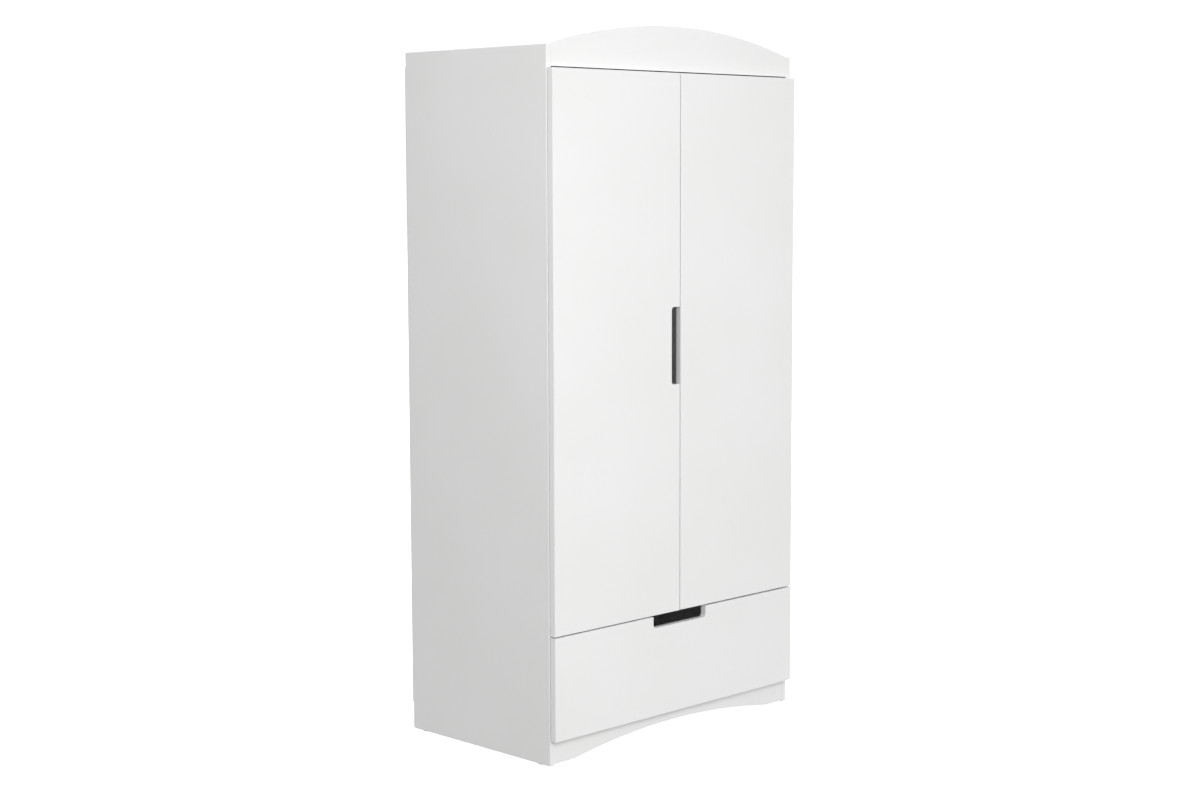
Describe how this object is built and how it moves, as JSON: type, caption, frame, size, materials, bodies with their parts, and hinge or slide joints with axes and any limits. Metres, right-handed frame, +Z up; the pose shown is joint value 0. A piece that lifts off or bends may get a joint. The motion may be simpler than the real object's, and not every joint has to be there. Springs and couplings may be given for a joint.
{
  "type": "wardrobe with doors",
  "caption": "Wardrobe with two hinged doors over a full-width drawer, an arched crown board, an arched plinth and finger notches in place of handles.",
  "frame": {"origin": "on the floor, under the middle of the wardrobe's outline", "axes": "+Z up, +X to the right as one faces the doors, +Y to the back; the doors face -Y"},
  "size_m": [1, 0.6, 2.0199],
  "materials": {
    "white_lacquer": "satin lacquer",
    "white_foil": "matt white foil on board",
    "hardboard": "white painted hardboard",
    "nickel": "nickel-plated steel",
    "zinc": "bright zinc-plated steel",
    "chrome": "polished chrome",
    "ball_steel": "polished hardened steel",
    "die_cast": "die-cast zinc",
    "white_plastic": "moulded",
    "clear_bumper": "clear soft pad",
    "beech": "raw turned beech"
  },
  "bodies": {
    "carcass": {"back_joint_strip": "white_plastic", "back_nails": "zinc", "back_panel_left": "hardboard", "back_panel_right": "hardboard", "base_panel": "white_foil", "cam_bolts": "zinc", "cam_locks": "die_cast", "compartment_floor": "white_foil", "crown_board": "white_lacquer", "dowels": "beech", "floor_glides": "white_plastic", "hanging_rail": "chrome", "hinge_arm_screws": "nickel", "hinge_arms_left": "nickel", "hinge_arms_right": "nickel", "hinge_plate_screws": "nickel", "hinge_plates_left": "nickel", "hinge_plates_right": "nickel", "plinth_board": "white_lacquer", "rail_flange_left": "chrome", "rail_flange_right": "chrome", "rail_screws": "chrome", "rear_plinth_rail": "white_foil", "runner_outer_left": "zinc", "runner_outer_right": "zinc", "runner_screws": "zinc", "shelf_pins": "nickel", "side_panel_left": "white_lacquer", "side_panel_right": "white_lacquer", "top_panel": "white_foil", "upper_shelf": "white_foil", "wall_bracket_screws": "zinc", "wall_brackets": "zinc"},
    "door_leaf_left": {"door_left": "white_lacquer", "hinge_cups_left": "nickel", "cup_screws_left": "nickel", "door_bumpers_left": "clear_bumper"},
    "door_leaf_right": {"door_right": "white_lacquer", "hinge_cups_right": "nickel", "cup_screws_right": "nickel", "door_bumpers_right": "clear_bumper"},
    "links_left": {"hinge_links_left": "nickel"},
    "links_right": {"hinge_links_right": "nickel"},
    "drawer": {"drawer_front": "white_lacquer", "drawer_side_left": "white_foil", "drawer_side_right": "white_foil", "drawer_back": "white_foil", "drawer_bottom": "hardboard", "drawer_cam_locks": "die_cast", "drawer_cam_bolts": "zinc", "drawer_screws": "zinc", "runner_inner_left": "zinc", "runner_inner_right": "zinc"},
    "runner_mid_left": {"runner_middle_left": "zinc"},
    "runner_mid_right": {"runner_middle_right": "zinc"},
    "cage_out_left": {"cage_outer_left": "ball_steel"},
    "cage_out_right": {"cage_outer_right": "ball_steel"},
    "cage_in_left": {"cage_inner_left": "ball_steel"},
    "cage_in_right": {"cage_inner_right": "ball_steel"}
  },
  "joints": [
    {"name": "left_door_hinge", "type": "hinge", "parent": "carcass", "child": "door_leaf_left", "pos_m": [-0.493, -0.292, 1.128], "axis": [0, 0, -1], "range_deg": [0, 105]},
    {"name": "right_door_hinge", "type": "hinge", "parent": "carcass", "child": "door_leaf_right", "pos_m": [0.493, -0.292, 1.128], "axis": [0, 0, 1], "range_deg": [0, 105]},
    {"name": "left_link_hinge", "type": "hinge", "parent": "carcass", "child": "links_left", "pos_m": [-0.466, -0.281, 1.128], "axis": [0, 0, -1], "range_deg": [-26.25, 0]},
    {"name": "right_link_hinge", "type": "hinge", "parent": "carcass", "child": "links_right", "pos_m": [0.466, -0.281, 1.128], "axis": [0, 0, 1], "range_deg": [-26.25, 0]},
    {"name": "drawer_slide", "type": "slide", "parent": "carcass", "child": "drawer", "axis": [0, -1, 0], "range_m": [0, 0.45]},
    {"name": "runner_mid_left_slide", "type": "slide", "parent": "carcass", "child": "runner_mid_left", "axis": [0, -1, 0], "range_m": [0, 0.225]},
    {"name": "runner_mid_right_slide", "type": "slide", "parent": "carcass", "child": "runner_mid_right", "axis": [0, -1, 0], "range_m": [0, 0.225]},
    {"name": "cage_out_left_slide", "type": "slide", "parent": "carcass", "child": "cage_out_left", "axis": [0, -1, 0], "range_m": [0, 0.1125]},
    {"name": "cage_out_right_slide", "type": "slide", "parent": "carcass", "child": "cage_out_right", "axis": [0, -1, 0], "range_m": [0, 0.1125]},
    {"name": "cage_in_left_slide", "type": "slide", "parent": "carcass", "child": "cage_in_left", "axis": [0, -1, 0], "range_m": [0, 0.3375]},
    {"name": "cage_in_right_slide", "type": "slide", "parent": "carcass", "child": "cage_in_right", "axis": [0, -1, 0], "range_m": [0, 0.3375]}
  ],
  "couplings": [
    {"joint": "left_link_hinge", "follows": "left_door_hinge", "ratio": -0.25},
    {"joint": "right_link_hinge", "follows": "right_door_hinge", "ratio": -0.25},
    {"joint": "runner_mid_left_slide", "follows": "drawer_slide", "ratio": 0.5},
    {"joint": "runner_mid_right_slide", "follows": "drawer_slide", "ratio": 0.5},
    {"joint": "cage_out_left_slide", "follows": "drawer_slide", "ratio": 0.25},
    {"joint": "cage_out_right_slide", "follows": "drawer_slide", "ratio": 0.25},
    {"joint": "cage_in_left_slide", "follows": "drawer_slide", "ratio": 0.75},
    {"joint": "cage_in_right_slide", "follows": "drawer_slide", "ratio": 0.75}
  ]
}
